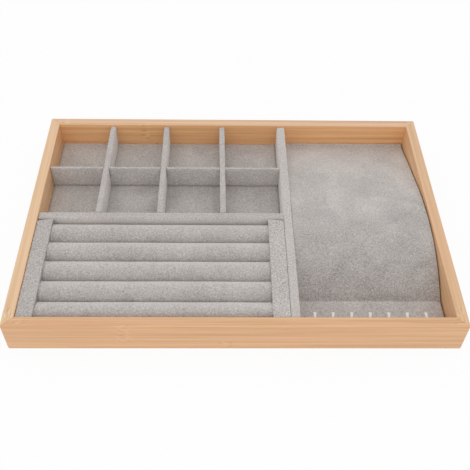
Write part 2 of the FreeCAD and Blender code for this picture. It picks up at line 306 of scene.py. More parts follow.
# %% [markdown]
# The rails are strips of bamboo, glued on each other and planed.
# They show long straight fibres, pinkish or yellowish, and here and there a node: a patch of short dashes.
# A wood picture could be wrapped on, but it would repeat and stop at the mitres.
# A node group draws the grain through the solid instead, so each rail is cut from its own canes.
# The height picks the strip, and a node sits elsewhere in each strip.

# %% Nodes and glue lines of bamboo
NODE_SPACING = 330.0
NODE_REACH = 9.0
NODE_WAVER = 6.0
NODE_WAVER_SIZE = 4.0
DASH_SIZE = 1.2
DASH_STRETCH = 0.2
PALE_DASH_LEVELS = (0.50, 0.34)
DARK_DASH_LEVELS = (0.54, 0.68)
GLUE_LINE = 0.22


def node_dashes(sketch, given, strip, along, up, through):
    """Masks of the pale and the dark dashes about the node of each strip."""
    calc = sketch.calc
    node_place = calc("MULTIPLY_ADD", strip, given["Node stagger"], given["First node"])
    away = calc("WRAP", calc("SUBTRACT", along, node_place), NODE_SPACING / 2, -NODE_SPACING / 2)
    waver = sketch.noise(sketch.join(0.0, up, through), NODE_WAVER_SIZE)
    away = calc("ABSOLUTE", sketch.swing(waver, NODE_WAVER, away))
    near_node = sketch.ramp(away, NODE_REACH, NODE_REACH / 3)
    drawn_out = sketch.join(calc("MULTIPLY", along, DASH_STRETCH), up, through)
    dashes = sketch.noise(drawn_out, DASH_SIZE, detail=1.0, distortion=0.5)
    pale = calc("MULTIPLY", near_node, sketch.ramp(dashes, *PALE_DASH_LEVELS))
    dark = calc("MULTIPLY", near_node, sketch.ramp(dashes, *DARK_DASH_LEVELS))
    return pale, dark


def mitre_glue(sketch, given, along, through):
    """Mask of the thin glue line where a rail is mitred to the next."""
    calc = sketch.calc
    past_length = calc("SUBTRACT", calc("ABSOLUTE", along), given["Half length"])
    past_width = calc("SUBTRACT", calc("ABSOLUTE", through), given["Half width"])
    from_mitre = calc("ABSOLUTE", calc("SUBTRACT", past_length, past_width))
    return sketch.ramp(from_mitre, GLUE_LINE, 0.0)


print("node spacing, mm:", NODE_SPACING, "glue line, mm:", GLUE_LINE)

# %% [markdown]
# Fibres are noise that is stretched along the cane: broad bands, fibres and fine hairs lie over each other.
# Each moves the tone between a pale and a deep colour, and blush, ticks, dashes and glue are laid over that.
# The upright faces cut the canes the other way, and are tinted last with painted light and shade: warmer or
# darker than the top, as bounced light and shade inside the tray make them.

# %% Bamboo grain
CANE_SHIFT = 900.0
BLUSH_ASIDE = 400.0
BLUSH_LEVELS = (0.42, 0.68)
TICK_LEVELS = (0.66, 0.78)
MIDDLE_TONE = 0.5
PLANED_ROUGHNESS = 0.38
FIBRE_ROUGHNESS = 0.14
HAIR_HEIGHT = 0.5
BAMBOO_INPUTS = {
    "Position": "Vector",
    "Facing": "Vector",
    "Pale": "Color",
    "Deep": "Color",
    "Blush": "Color",
    "Vein": "Color",
    "Strip": "Float",
    "Strip start": "Float",
    "First node": "Float",
    "Node stagger": "Float",
    "Half length": "Float",
    "Half width": "Float",
    "Upright light and shade": "Color",
}


def make_bamboo_grain():
    """Node group: bamboo strips with fibres, ticks, nodes and a glue line at the mitres."""
    outputs = {"Colour": "Color", "Roughness": "Float", "Height": "Float"}
    sketch, given, result = new_group("bamboo_grain", BAMBOO_INPUTS, outputs)
    calc, links = sketch.calc, sketch.tree.links
    along, up, through = sketch.split(given["Position"])
    strip = calc("FLOOR", calc("DIVIDE", calc("SUBTRACT", up, given["Strip start"]), given["Strip"]))
    cane_seed = calc("ADD", strip, given["First node"])
    cane = sketch.node("TexWhiteNoise", {"W": cane_seed}, noise_dimensions="1D").outputs["Value"]
    shifted = calc("MULTIPLY_ADD", cane, CANE_SHIFT, along)

    def streaks(length, width, detail, aside=0.0):
        """Noise drawn out along the cane."""
        stretched = sketch.join(calc("MULTIPLY", shifted, width / length), calc("ADD", up, aside), through)
        return sketch.noise(stretched, width, detail)

    bands = streaks(length=260.0, width=3.4, detail=1.0)
    fibres = streaks(length=90.0, width=0.85, detail=3.0)
    hairs = streaks(length=20.0, width=0.35, detail=2.0)
    blush = sketch.ramp(streaks(length=110.0, width=4.2, detail=1.0, aside=BLUSH_ASIDE), *BLUSH_LEVELS)
    ticks = sketch.ramp(streaks(length=6.0, width=0.5, detail=1.0), *TICK_LEVELS)
    pale_dash, dark_dash = node_dashes(sketch, given, strip, along, up, through)
    glue = mitre_glue(sketch, given, along, through)

    tone = MIDDLE_TONE
    for pattern, contrast in ((cane, 0.25), (bands, 1.7), (fibres, 1.9), (hairs, 0.6)):
        tone = sketch.swing(pattern, contrast, tone)
    wood = sketch.mix(tone, given["Deep"], given["Pale"])
    layers = (
        (blush, 0.55, "Blush"),
        (ticks, 0.2, "Vein"),
        (pale_dash, 0.8, "Pale"),
        (dark_dash, 0.35, "Vein"),
        (glue, 0.15, "Vein"),
    )
    for mask, strength, tint in layers:
        wood = sketch.mix(calc("MULTIPLY", mask, strength), wood, given[tint])
    # Painted light and shade: upright faces are multiplied by each rail's own tint.
    upright = calc("SUBTRACT", 1.0, calc("ABSOLUTE", sketch.split(given["Facing"])["Z"]))
    wood = sketch.mix(upright, wood, given["Upright light and shade"], "MULTIPLY")
    links.new(wood, result["Colour"])
    links.new(calc("MULTIPLY_ADD", fibres, FIBRE_ROUGHNESS, PLANED_ROUGHNESS), result["Roughness"])
    raised = calc("MULTIPLY_ADD", hairs, HAIR_HEIGHT, fibres)
    links.new(calc("SUBTRACT", raised, calc("ADD", ticks, glue)), result["Height"])
    print("bamboo_grain nodes:", len(sketch.tree.nodes))


make_bamboo_grain()

# %% [markdown]
# The front and back rails run along X and the side rails along Y, so these have the group's axes swapped.
# Each rail has tones of its own under a thin satin lacquer, and its own painted light and shade for its
# upright faces.
# The first strip's node and the stagger set where nodes show.
# On the front rail that is one high up at the left and one low down near the middle.
# The plywood bottom has the same long fibres, in broad sheets with hardly a node.

# %% Tones of the bamboo and the plywood
STRIP_HEIGHT = 20.0
STRIP_START = -10.0
RIM_X = box_in_mm("right_rail")[1].x
RIM_Y = box_in_mm("back_rail")[1].y
VENEER_STRIP = 60.0
PAST_EVERY_MITRE = 10 * RIM_X
BAMBOO = {"Vein": colour(160, 110, 68), "Strip": STRIP_HEIGHT, "Strip start": STRIP_START}
LONG_CUT = {"First node": -8.0, "Node stagger": -77.0, "Half length": RIM_X, "Half width": RIM_Y}
SHORT_CUT = {"First node": 31.0, "Node stagger": 96.0, "Half length": RIM_Y, "Half width": RIM_X}
# The upright tint of each rail is painted light and shade for its upright faces.
RAIL_TONES = {
    "front_rail": {
        "Pale": colour(231, 187, 142),
        "Deep": colour(202, 152, 105),
        "Blush": colour(224, 169, 130),
        "Upright light and shade": (1.0, 0.97, 0.91, 1.0),
    },
    "back_rail": {
        "Pale": colour(231, 194, 157),
        "Deep": colour(202, 158, 117),
        "Blush": colour(224, 176, 144),
        "Upright light and shade": (1.12, 0.97, 0.73, 1.0),
    },
    "left_rail": {
        "Pale": colour(241, 208, 170),
        "Deep": colour(217, 177, 133),
        "Blush": colour(233, 190, 151),
        "Upright light and shade": (0.97, 0.83, 0.68, 1.0),
    },
    "right_rail": {
        "Pale": colour(233, 196, 156),
        "Deep": colour(209, 166, 121),
        "Blush": colour(225, 178, 138),
        "Upright light and shade": (1.07, 1.01, 0.92, 1.0),
    },
}
VENEER = {
    "Pale": colour(222, 188, 144),
    "Deep": colour(200, 160, 114),
    "Blush": colour(214, 172, 130),
    "Vein": colour(168, 125, 84),
    "Strip": VENEER_STRIP,
    "Strip start": 0.0,
    "First node": 700.0,
    "Node stagger": 0.0,
    "Half length": PAST_EVERY_MITRE,
    "Half width": RIM_Y,
    "Upright light and shade": WHITE,
}
print("rails with tones of their own:", list(RAIL_TONES))

# %% [markdown]
# Each rail then gets its own material, made by one function from its tones and the way it is cut.
# The rails stay the packed solids: their straight edges are what planed wood has, so only the finish is new.

# %% Bamboo and plywood finishes
WOOD_CONSTANTS = {"Specular IOR Level": 0.5, "Coat Weight": 0.5, "Coat Roughness": 0.35}
WOOD_BUMP = 0.12
WOOD_BUMP_DEPTH = 0.15 * MM
X_AXIS, Y_AXIS, Z_AXIS = range(3)
ALONG_X = (X_AXIS, Z_AXIS, Y_AXIS)
ALONG_Y = (Y_AXIS, Z_AXIS, X_AXIS)
LAID_FLAT = (X_AXIS, Y_AXIS, Z_AXIS)


def wood_material(name, axes, grain):
    """Wood whose fibres run along the first of the three axes, with its strips stacked along the second."""
    material, sketch, shader = new_material(name, WOOD_CONSTANTS)
    values = sketch.split(sketch.place())
    swapped = sketch.join(*(values[axis] for axis in axes))
    inputs = {"Position": swapped, "Facing": sketch.facing(), **grain}
    placed = place_group(sketch, "bamboo_grain", inputs)
    join_finish(sketch, shader, placed, WOOD_BUMP, WOOD_BUMP_DEPTH)
    return material


def finish_nodes(material, names):
    """Gives packed nodes their finish."""
    for name in names:
        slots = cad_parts[name].data.materials
        slots.clear()
        slots.append(material)
    print(material.name, "on", len(names), "nodes")


for rail, tones in RAIL_TONES.items():
    is_long = rail in ("front_rail", "back_rail")
    cut = LONG_CUT if is_long else SHORT_CUT
    bamboo = wood_material(f"{rail}_bamboo", ALONG_X if is_long else ALONG_Y, {**BAMBOO, **cut, **tones})
    finish_nodes(bamboo, [rail])
finish_nodes(wood_material("plywood_veneer", LAID_FLAT, VENEER), ["bottom_panel"])

# %% [markdown]
# Under the velvet are boards: pressed fibre in the dividers and bars, grey card under floors and ramp.
# They show only from below or at a cut edge, when an insert is lifted out.
# Both are chopped fibre pressed flat, so one group draws the flecks, and each has its own two colours.

# %% Pressed boards
FLECK_LEVELS = (0.48, 0.70)
FUZZ_SIZE = 0.25
FUZZ_STRENGTH = 0.3
BOARD_CONSTANTS = {"Roughness": 0.85, "Specular IOR Level": 0.2}
BOARD_BUMP = 0.3
BOARD_BUMP_DEPTH = 0.1 * MM


def make_pressed_fibre():
    """Node group: flecks and fine fuzz of pressed fibre."""
    inputs = {"Position": "Vector", "Ground": "Color", "Fleck": "Color", "Fleck size": "Float"}
    sketch, given, result = new_group("pressed_fibre", inputs, {"Colour": "Color", "Height": "Float"})
    sized = sketch.scaled(given["Position"], sketch.calc("DIVIDE", 1.0, given["Fleck size"]))
    flecks = sketch.ramp(sketch.noise(sized, 1.0, detail=3.0, distortion=1.5), *FLECK_LEVELS)
    fuzz = sketch.noise(sized, FUZZ_SIZE)
    board = sketch.mix(flecks, given["Ground"], given["Fleck"])
    board = sketch.mix(sketch.calc("MULTIPLY", fuzz, FUZZ_STRENGTH), board, given["Fleck"])
    sketch.tree.links.new(board, result["Colour"])
    sketch.tree.links.new(sketch.calc("ADD", fuzz, flecks), result["Height"])
    print("pressed_fibre nodes:", len(sketch.tree.nodes))


def board_material(name, ground, fleck, fleck_size):
    """Pressed board in two tones."""
    material, sketch, shader = new_material(name, BOARD_CONSTANTS)
    inputs = {"Position": sketch.place(), "Ground": ground, "Fleck": fleck, "Fleck size": fleck_size}
    placed = place_group(sketch, "pressed_fibre", inputs)
    join_finish(sketch, shader, placed, BOARD_BUMP, BOARD_BUMP_DEPTH)
    return material


make_pressed_fibre()
fibreboard = board_material("fibreboard_core", colour(176, 141, 102), colour(139, 104, 70), fleck_size=1.4)
grey_card = board_material("grey_card", colour(172, 166, 156), colour(136, 128, 117), fleck_size=0.9)
finish_nodes(fibreboard, [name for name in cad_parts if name.endswith("_core")])
finish_nodes(grey_card, [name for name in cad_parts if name.endswith("_board")])

# %% [markdown]
# The cloth is a short grey velvet. Its nap stands up, so it looks paler along the surface than from above.
# A shader's sheen is made for that, and a node group adds the nap itself: hairs, clumps and brushed patches.
# A slope towards the back is painted paler and one towards the front darker: partly the nap's lean, partly
# painted light and shade by facing.
# Steep faces get painted light, which makes them paler than flat ones.
# Where a face turns to a neighbour, painted shade darkens it, more further down.

# %% Velvet nap
HAIR_SIZE = 0.25
HAIR_CONTRAST = 0.5
CLUMP_CONTRAST = 0.95
PATCH_SIZE = 26.0
MIDDLE_NAP = 0.5
HAIR_RISE = 0.5
FULL_SHADE_DEPTH = 3.5
VELVET_INPUTS = {
    "Position": "Vector",
    "Facing": "Vector",
    "Deep": "Color",
    "Pale": "Color",
    "Clump": "Float",
    "Tufting": "Float",
    "Brushing": "Float",
    "Lean and back light": "Float",
    "Steep light": "Float",
    "Shaded side": "Vector",
    "Shaded below": "Float",
}


def make_velvet_nap():
    """Node group: short nap, as hairs, clumps and brushed patches, with the nap's lean, painted light and
    shade by facing, and painted shade beside neighbours.
    """
    sketch, given, result = new_group("velvet_nap", VELVET_INPUTS, {"Colour": "Color", "Height": "Float"})
    calc = sketch.calc
    sized = sketch.scaled(given["Position"], calc("DIVIDE", 1.0, given["Clump"]))
    hairs = sketch.noise(sized, HAIR_SIZE)
    clumps = sketch.noise(sized, 1.0, distortion=0.4)
    patches = sketch.noise(given["Position"], PATCH_SIZE, detail=3.0, distortion=0.8)
    tufts = sketch.swing(clumps, CLUMP_CONTRAST, sketch.swing(hairs, HAIR_CONTRAST, 0.0))
    nap = calc("MULTIPLY_ADD", tufts, given["Tufting"], MIDDLE_NAP)
    nap = sketch.swing(patches, given["Brushing"], nap)
    facing = sketch.split(given["Facing"])
    # Painted light and shade by facing, partly the nap's lean: faces turned to the back lighter, to the front
    # darker.
    nap = calc("MULTIPLY_ADD", facing["Y"], given["Lean and back light"], nap)
    # Painted light on steep faces.
    steep = calc("SUBTRACT", 1.0, calc("ABSOLUTE", facing["Z"]))
    nap = calc("MULTIPLY_ADD", steep, given["Steep light"], nap)
    # Painted shade on the side turned to a neighbour, deeper below the given height.
    towards = {0: given["Facing"], 1: given["Shaded side"]}
    neighbour_shade = sketch.node("VectorMath", towards, operation="DOT_PRODUCT").outputs["Value"]
    depth = calc("SUBTRACT", given["Shaded below"], sketch.split(given["Position"])["Z"])
    neighbour_shade = calc("MULTIPLY", calc("MAXIMUM", neighbour_shade, 0.0), sketch.ramp(depth, 0.0, FULL_SHADE_DEPTH))
    nap = calc("SUBTRACT", nap, neighbour_shade)
    sketch.tree.links.new(sketch.mix(nap, given["Deep"], given["Pale"]), result["Colour"])
    sketch.tree.links.new(calc("MULTIPLY_ADD", hairs, HAIR_RISE, clumps), result["Height"])
    print("velvet_nap nodes:", len(sketch.tree.nodes))


make_velvet_nap()

# %% [markdown]
# One velvet for every piece would be simple, but the pieces differ a little in shade.
# So each has a material with a shade of its own, in steps of 255, its own brushing, and its own painted light
# and shade by facing.
# The two bars get painted shade on the sides that face the rolls, and their nap is rougher.

# %% Velvets of the pieces
CLUMP_SIZE = 1.05
BAR_TOP = box_in_mm("left_end_bar_cover")[1].z
VELVET_DEEP = (116, 111, 108)
VELVET_PALE = (233, 227, 223)
VELVET_BUMP = 0.25
VELVET_BUMP_DEPTH = 0.25 * MM
VELVET_CONSTANTS = {
    "Roughness": 1.0,
    "Specular IOR Level": 0.1,
    "Sheen Weight": 0.55,
    "Sheen Roughness": 0.45,
    "Sheen Tint": colour(246, 242, 238),
}
# The lean paints light on faces turned to the back and shade on faces turned to the front.
VELVETS = {
    "divider": {"steps": 0, "lean": 0.05, "hang": 0.15, "tufting": 1.15},
    "middle_divider": {"steps": 4, "lean": 0.15, "hang": 0.16},
    "cross_partition": {"steps": -1, "lean": 0.1, "hang": 0.27},
    "long_partition": {"steps": 9, "lean": 0.05, "hang": 0.2},
    "left_bar": {"steps": -4, "lean": 0.05, "hang": 0.0, "tufting": 1.4, "shaded_x": 0.8},
    "right_bar": {"steps": 5, "lean": 0.05, "hang": 0.0, "tufting": 1.5, "shaded_x": -0.8},
    "roll": {"steps": 4, "lean": 0.2, "hang": 0.15},
    "cell_floor": {"steps": 2, "lean": 0.38, "hang": 0.0, "brushing": 0.4},
    "ramp": {"steps": -2, "lean": 0.38, "hang": 0.0, "brushing": 0.4},
}


def velvet_material(piece, steps, lean, hang, brushing=0.2, tufting=1.0, shaded_x=0.0):
    """Grey velvet some steps lighter, with painted shade on the side that faces along X by the sign of
    shaded_x.
    """
    material, sketch, shader = new_material(piece + "_velvet", VELVET_CONSTANTS)
    deep, pale = (colour(*(value + steps for value in tone)) for tone in (VELVET_DEEP, VELVET_PALE))
    inputs = {
        "Position": sketch.place(),
        "Facing": sketch.facing(),
        "Deep": deep,
        "Pale": pale,
        "Clump": CLUMP_SIZE,
        "Tufting": tufting,
        "Brushing": brushing,
        "Lean and back light": lean,
        # painted light on steep faces
        "Steep light": hang,
        # painted shade on the side that faces the rolls
        "Shaded side": (shaded_x, 0.0, 0.0),
        "Shaded below": BAR_TOP,
    }
    placed = place_group(sketch, "velvet_nap", inputs)
    join_finish(sketch, shader, placed, VELVET_BUMP, VELVET_BUMP_DEPTH)
    return material


velvets = {piece: velvet_material(piece, **nap) for piece, nap in VELVETS.items()}
print("velvets:", [velvet.name for velvet in velvets.values()])

# %% [markdown]
# Cloth pieces are made as rows of points: a section across the piece, repeated at stations along it.
# A modelled box with a bevel would do for one piece, but slots and soft unevenness come easier from rows.

# %% Helpers for rows of points
ARC_STEPS = 6


def spread_through(keys, step):
    """Places from the first key to the last, about one step apart, that pass through every key."""
    places = [keys[0]]
    for start, end in zip(keys, keys[1:]):
        count = max(1, round((end - start) / step))
        places += [start + (end - start) * n / count for n in range(1, count + 1)]
    return places


def quarter_turn(steps=ARC_STEPS):
    """Angles over a quarter circle."""
    return [n * math.pi / 2 / steps for n in range(steps + 1)]


def loft_faces(rows, row_length, keep=lambda row, column: True):
    """Quads between neighbouring rows of points."""
    faces = []
    for row in range(rows - 1):
        for column in range(row_length - 1):
            if keep(row, column):
                first = row * row_length + column
                faces.append((first, first + 1, first + row_length + 1, first + row_length))
    return faces


def cap_faces(start, row_length):
    """Faces that close one end, between the two sides of a row."""
    faces = []
    for column in range(row_length // 2):
        far = start + row_length - 1 - column
        ring = list(dict.fromkeys([start + column, start + column + 1, far - 1, far]))
        if len(ring) > 2:
            faces.append(tuple(ring))
    return faces


print("arcs of", ARC_STEPS, "steps to a quarter turn")

# %% [markdown]
# The rows become one smooth mesh: points that meet are welded, and unused ones are dropped.
# Soft faces are never quite even, so the mesh then sinks a little here and there, as padding does.
# Noise with a seed does that the same way each time, which a brush in sculpt mode wouldn't.

# %% Helpers for smooth meshes
WELD = 1e-7
SEED_STEPS = (17.3, 5.1, 9.7)


def make_piece(name, points, faces, material):
    """Smooth mesh object from points in millimetres, with its faces turned outwards, or up on a sheet."""
    mesh = bpy.data.meshes.new(name)
    mesh.from_pydata([Vector(point) * MM for point in points], [], faces)
    shape = bmesh.new()
    shape.from_mesh(mesh)
    bmesh.ops.remove_doubles(shape, verts=shape.verts, dist=WELD)
    unused = [vert for vert in shape.verts if not vert.link_faces]
    bmesh.ops.delete(shape, geom=unused, context="VERTS")
    bmesh.ops.recalc_face_normals(shape, faces=shape.faces)
    upward = sum(face.normal.z * face.calc_area() for face in shape.faces)
    if upward < -SQUARE_MM:
        bmesh.ops.reverse_faces(shape, faces=shape.faces)
    shape.to_mesh(mesh)
    shape.free()
    mesh.polygons.foreach_set("use_smooth", [True] * len(mesh.polygons))
    mesh.materials.append(material)
    piece = bpy.data.objects.new(name, mesh)
    scene.collection.objects.link(piece)
    return piece


def settle(piece, depth, size, seed):
    """Lets a soft face sink unevenly between its edges, by up to a depth, in hollows of about one size."""
    offset = Vector([seed * step for step in SEED_STEPS])
    shape = bmesh.new()
    shape.from_mesh(piece.data)
    shape.normal_update()
    for vert in shape.verts:
        if not vert.is_boundary:
            hollow = 0.5 + 0.5 * noise.noise(vert.co / MM / size + offset)
            vert.co -= vert.normal * depth * MM * min(1.0, max(0.0, hollow))
    shape.to_mesh(piece.data)
    shape.free()


print("points closer than", WELD / MM, "mm are welded")

# %% [markdown]
# Every piece moves with its insert and takes the place of a packed solid, so the tray stays one assembly.
# Thickness could be modelled too, but Solidify keeps the sheet single, so its area is easy to measure.

# %% Helpers for cloth and foam
CLOTH_SHOWN = 0.55
SOFT_CLOTH_SHOWN = 0.35


def thicken(piece, thickness=CLOTH_SHOWN):
    """Gives cloth its thickness, inwards from the face that shows."""
    solidify = piece.modifiers.new("cloth thickness", "SOLIDIFY")
    solidify.thickness = thickness * MM
    solidify.offset = -1.0


def put_on(piece, body, slot, *nodes):
    """Joins a piece to the insert that it moves with, in place of packed nodes."""
    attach(piece, body)
    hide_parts(*nodes)


print("cloth shown at", CLOTH_SHOWN, "mm, soft cloth at", SOFT_CLOTH_SHOWN, "mm")

# %% [markdown]
# Eight boards are wrapped in velvet: two thick partitions, four dividers and the two bars beside the rings.
# The cloth goes over the top edge and round the ends in a small radius, and down both sides.
# A bevelled box would give the same outline, but its faces would be too large to sink or to be cut for slots.

# %% Section and stations of a wrap
WRAP_RADIUS = 1.2
THIN_WRAP_RADIUS = 0.9
BAR_WRAP_RADIUS = 0.5
SIDE_STEP = 2.5
LENGTH_STEP = 3.0
TOP_STEP = 1.2


def wrap_section(half, bottom, top, radius, levels=()):
    """(across, height) points over a board, from one foot over the top to the other."""
    sides = spread_through([bottom, *levels, top - radius], SIDE_STEP)
    one_side = [(half, height) for height in sides[:-1]]
    middle = half - radius
    one_side += [(middle + radius * math.cos(t), top - radius + radius * math.sin(t)) for t in quarter_turn()]
    inside = spread_through([0.0, middle], TOP_STEP)[1:-1]
    one_side += [(across, top) for across in reversed(inside)]
    other_side = [(-across, height) for across, height in reversed(one_side)]
    return one_side + [(0.0, top)] + other_side


def wrap_stations(start, end, radius, keys=()):
    """Places along a piece, each with how far the cloth is drawn in there to round the ends."""
    turn = [(radius * (1 - math.cos(t)), radius * (1 - math.sin(t))) for t in quarter_turn()]
    first = [(start + step, inset) for step, inset in turn[:-1]]
    last = [(end - step, inset) for step, inset in reversed(turn[:-1])]
    middle = [(place, 0.0) for place in spread_through([start + radius, *keys, end - radius], LENGTH_STEP)]
    return first + middle + last


def loft_points(section, stations, along, middle, bottom, top):
    """Section points at every station, drawn in at the ends but not at the foot."""
    half = max(across for across, height in section)
    points = []
    for place, inset in stations:
        for across, height in section:
            lift = (height - bottom) / (top - bottom)
            point = Vector((0, 0, height - inset * lift * lift))
            point[along] = place
            point[1 - along] = middle + across * (1 - inset / half)
            points.append(point)
    return points


print("wrap radii, mm:", WRAP_RADIUS, THIN_WRAP_RADIUS, BAR_WRAP_RADIUS)

# %% [markdown]
# The tray isn't put together quite true.
# Two of the dividers stand a little turned, and both bars were cut a little askew at the back.
# Their cloth could be drawn where it ends up, but it is simpler to make it straight and then move it.

# %% Askew and turned boards
LEFT_BAR_SKEW = 2.6
RIGHT_BAR_SKEW = 1.6
SKEW_REACH = 12.0
DIVIDER_TURNS = [math.radians(turn) for turn in (-0.74, 0.0, 0.7)]


def skewed(points, along, low, high, skew):
    """Draws one end back, on the high side by a positive skew and on the low side by a negative one."""
    for point in points:
        near_end = max(0.0, 1 - (high[along] - point[along]) / SKEW_REACH)
        side = (point[1 - along] - low[1 - along]) / (high[1 - along] - low[1 - along])
        share = side if skew > 0 else 1 - side
        point[along] -= abs(skew) * share * near_end


def half_width(low, high, along, turn):
    """Half of a board's own width, without what its turn adds to its box."""
    return (high[1 - along] - low[1 - along] - (high[along] - low[along]) * math.sin(abs(turn))) / 2


def turned(points, low, high, turn):
    """Turns a board's points about an upright line through the middle of its box."""
    middle = (low + high) / 2
    spin = Matrix.Rotation(turn, 3, "Z")
    for point in points:
        point -= middle
        point.rotate(spin)
        point += middle


print("skews, mm:", LEFT_BAR_SKEW, RIGHT_BAR_SKEW)
print("turned dividers:", sum(turn != 0 for turn in DIVIDER_TURNS))

# %% [markdown]
# One function wraps any of the eight boards, from the box of its packed cover.
# The dividers are halved over each other, so their cloth has slots that are open below or above.
# A slot could be cut with a Boolean, but rows that pass through its edges only need the squares left out.

# %% Velvet over one board
WRAP_HOLLOWS = 0.12
WRAP_HOLLOW_SIZE = 11.0


def wrapped_board(board, body, velvet, along, radius, slots=(), skew=0.0, swell=0.0, turn=0.0):
    """Velvet over one board; a slot is (start, end, lowest, highest) along and up the board."""
    low, high = box_in_mm(board + "_cover")
    half = half_width(low, high, along, turn) + swell
    middle = (high[1 - along] + low[1 - along]) / 2
    levels = sorted({level for slot in slots for level in slot[2:] if low.z < level < high.z - radius})
    keys = sorted({place for slot in slots for place in slot[:2]})
    section = wrap_section(half, low.z, high.z, radius, levels)
    stations = wrap_stations(low[along], high[along], radius, keys)
    points = loft_points(section, stations, along, middle, low.z, high.z)
    skewed(points, along, low, high, skew)
    turned(points, low, high, turn)

    def outside_slots(row, column):
        """Whether a square of the cloth lies outside every slot."""
        place = (stations[row][0] + stations[row + 1][0]) / 2
        level = (section[column][1] + section[column + 1][1]) / 2
        for start, end, lowest, highest in slots:
            if start < place < end and lowest < level < highest:
                return False
        return True

    width = len(section)
    faces = loft_faces(len(stations), width, outside_slots)
    faces += cap_faces(0, width) + cap_faces((len(stations) - 1) * width, width)
    piece = make_piece(board + "_velvet", points, faces, velvet)
    settle(piece, WRAP_HOLLOWS, WRAP_HOLLOW_SIZE, seed=len(board) + along)
    thicken(piece)
    put_on(piece, body, "velvet", board + "_cover")


print("hollows of a wrap, mm:", WRAP_HOLLOWS)

# %% [markdown]
# The dividers' slots follow from where they cross, and are a hair wider than the board that they take.
# The nap of the bars swells into the narrow gaps beside them, more on the right one than on the left.

# %% Partitions, dividers and bars
SLOT_GAP = 0.1
SLOT_PAST_TOP = 1.0
NAP_SWELL = 0.25
LEFT_BAR_SWELL = 0.08
BARS = (
    ("left", -LEFT_BAR_SKEW, LEFT_BAR_SWELL),
    ("right", RIGHT_BAR_SKEW, NAP_SWELL),
)
middle_low, middle_high = box_in_mm("middle_divider_cover")
halving_level = (middle_low.z + middle_high.z) / 2
under_slot = (middle_low.y - SLOT_GAP, middle_high.y + SLOT_GAP, middle_low.z, halving_level)
top_slots = []
for number, divider_turn in enumerate(DIVIDER_TURNS, 1):
    divider = f"divider_{number}"
    divider_low, divider_high = box_in_mm(divider + "_cover")
    crossing = (divider_low.x + divider_high.x) / 2
    reach = half_width(divider_low, divider_high, Y_AXIS, divider_turn) + SLOT_GAP
    top_slots.append((crossing - reach, crossing + reach, halving_level, middle_high.z + SLOT_PAST_TOP))
    cloth = (divider, "divider_grid", velvets["divider"], Y_AXIS, WRAP_RADIUS)
    wrapped_board(*cloth, slots=[under_slot], turn=divider_turn)
cloth = ("middle_divider", "divider_grid", velvets["middle_divider"], X_AXIS, THIN_WRAP_RADIUS)
wrapped_board(*cloth, slots=top_slots)
wrapped_board("long_partition", "tray", velvets["long_partition"], Y_AXIS, WRAP_RADIUS)
wrapped_board("cross_partition", "tray", velvets["cross_partition"], X_AXIS, WRAP_RADIUS)
for side, bar_skew, bar_swell in BARS:
    cloth = (f"{side}_end_bar", "ring_insert", velvets[f"{side}_bar"], Y_AXIS, BAR_WRAP_RADIUS)
    wrapped_board(*cloth, skew=bar_skew, swell=bar_swell)

# %% [markdown]
# One sheet of velvet lies under all eight cells, glued to its card.
# A flat plane would do, but the light shows that real cloth is never quite flat.
# So it is a grid whose points sink by a fraction of a millimetre.

# %% Cell floor
FLOOR_STEP = 3.0
FLOOR_HOLLOWS = 0.25
FLOOR_HOLLOW_SIZE = 18.0


def make_cell_floor():
    """Velvet laid under the cells."""
    low, high = box_in_mm("compartment_floor_lining")
    columns = spread_through([low.x, high.x], FLOOR_STEP)
    rows = spread_through([low.y, high.y], FLOOR_STEP)
    points = [(x, y, high.z) for y in rows for x in columns]
    faces = loft_faces(len(rows), len(columns))
    piece = make_piece("cell_floor_velvet", points, faces, velvets["cell_floor"])
    settle(piece, FLOOR_HOLLOWS, FLOOR_HOLLOW_SIZE, seed=3)
    thicken(piece, SOFT_CLOTH_SHOWN)
    put_on(piece, "tray", "velvet", "compartment_floor_lining")


make_cell_floor()

# %% [markdown]
# Foam is inside the ring rolls and under the necklace ramp, and shows only where a cover ends.
# It is full of small bubbles, so rounded Voronoi cells give its pits, and painted shade that makes it faintly
# mottled, darker in each pit.

# %% Foam
FOAM_CONSTANTS = {"Roughness": 0.9, "Specular IOR Level": 0.2}
FOAM_CELLS_PER_MM = 1.4
FOAM_LEVELS = (0.15, 0.65)
FOAM_BUMP = 0.5
FOAM_BUMP_DEPTH = 0.3 * MM


def make_foam_material():
    """Pale open-celled foam."""
    material, sketch, shader = new_material("pale_foam", FOAM_CONSTANTS)
    inputs = {"Vector": sketch.place(), "Scale": FOAM_CELLS_PER_MM}
    cells = sketch.node("TexVoronoi", inputs, feature="SMOOTH_F1").outputs["Distance"]
    pit_shade = sketch.ramp(cells, *FOAM_LEVELS)
    # Painted shade: the foam is darker in its pits.
    tint = sketch.mix(pit_shade, colour(196, 194, 186), colour(232, 230, 222))
    join_finish(sketch, shader, {"Colour": tint, "Height": cells}, FOAM_BUMP, FOAM_BUMP_DEPTH)
    return material


pale_foam = make_foam_material()
print("foam:", pale_foam.name)

# %% [markdown]
# Five foam rolls lie side by side in the ring pad, each with velvet pulled round it and tucked underneath.
# A cloth simulation would swell them, but these are tight and even, so their section is drawn.
# It has upright sides, wide round shoulders and a crown: three arcs that run smoothly into each other.

# %% Section of a roll
ROLL_RISE = 9.0
ROLL_SHOULDER = 7.5
ROLL_FOOT = 0.9
ROLL_TUCK = 5.0
ROLL_STEP = 1.2
ROLL_SIDE_STEP = 2.0


